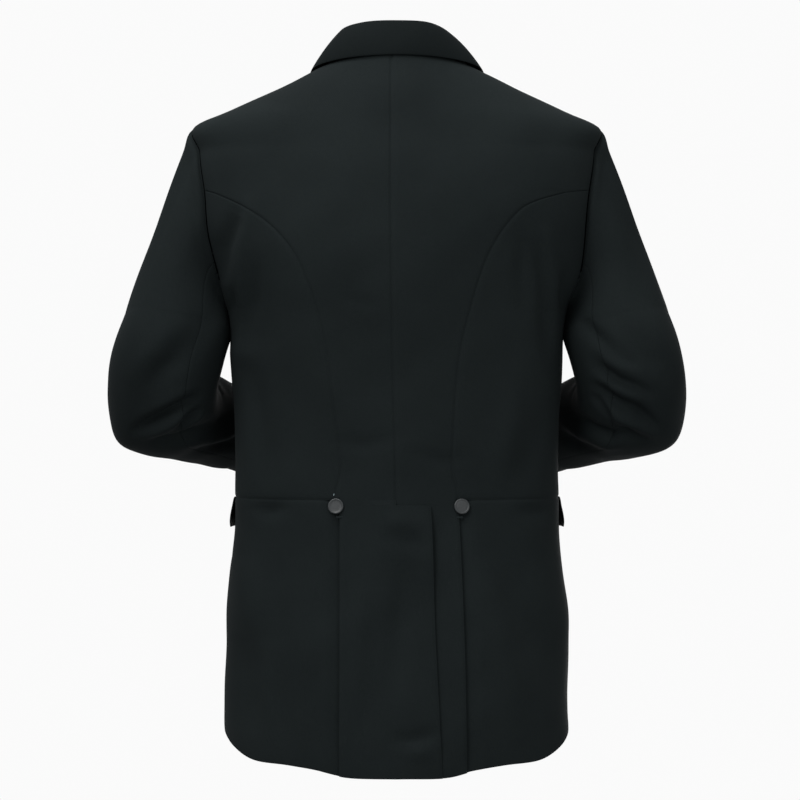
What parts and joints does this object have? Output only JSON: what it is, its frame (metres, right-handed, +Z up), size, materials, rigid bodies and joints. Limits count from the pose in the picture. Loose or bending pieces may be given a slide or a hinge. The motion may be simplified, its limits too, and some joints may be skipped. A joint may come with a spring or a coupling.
{
  "type": "blazer",
  "caption": "Worn, hollow frock-style blazer in dark cloth: turned-down collar, princess seams, waist seam, back pleats with buttons, centre vent and bent sleeves.",
  "frame": {"origin": "middle of the neck base, level with the neck points of the shoulder seams", "axes": "+Z up along the wearer, -Y the way the wearer faces, +X to the wearer's left"},
  "size_m": [0.6762, 0.3847, 0.857],
  "materials": {
    "gabardine": "matt twill with a faint sheen",
    "button": "satin"
  },
  "bodies": {
    "root": {"back_left": "gabardine", "side_body_left": "gabardine", "front_left": "gabardine", "skirt_left": "gabardine", "sleeve_top_left": "gabardine", "sleeve_under_left": "gabardine", "lapel_left": "gabardine", "pocket_flap_left": "gabardine", "back_right": "gabardine", "side_body_right": "gabardine", "front_right": "gabardine", "skirt_right": "gabardine", "sleeve_top_right": "gabardine", "sleeve_under_right": "gabardine", "lapel_right": "gabardine", "pocket_flap_right": "gabardine", "collar_fall": "gabardine", "collar_stand": "gabardine", "back_button_left": "button", "back_button_right": "button", "front_button_1": "button", "front_button_2": "button", "front_button_3": "button"}
  },
  "joints": []
}
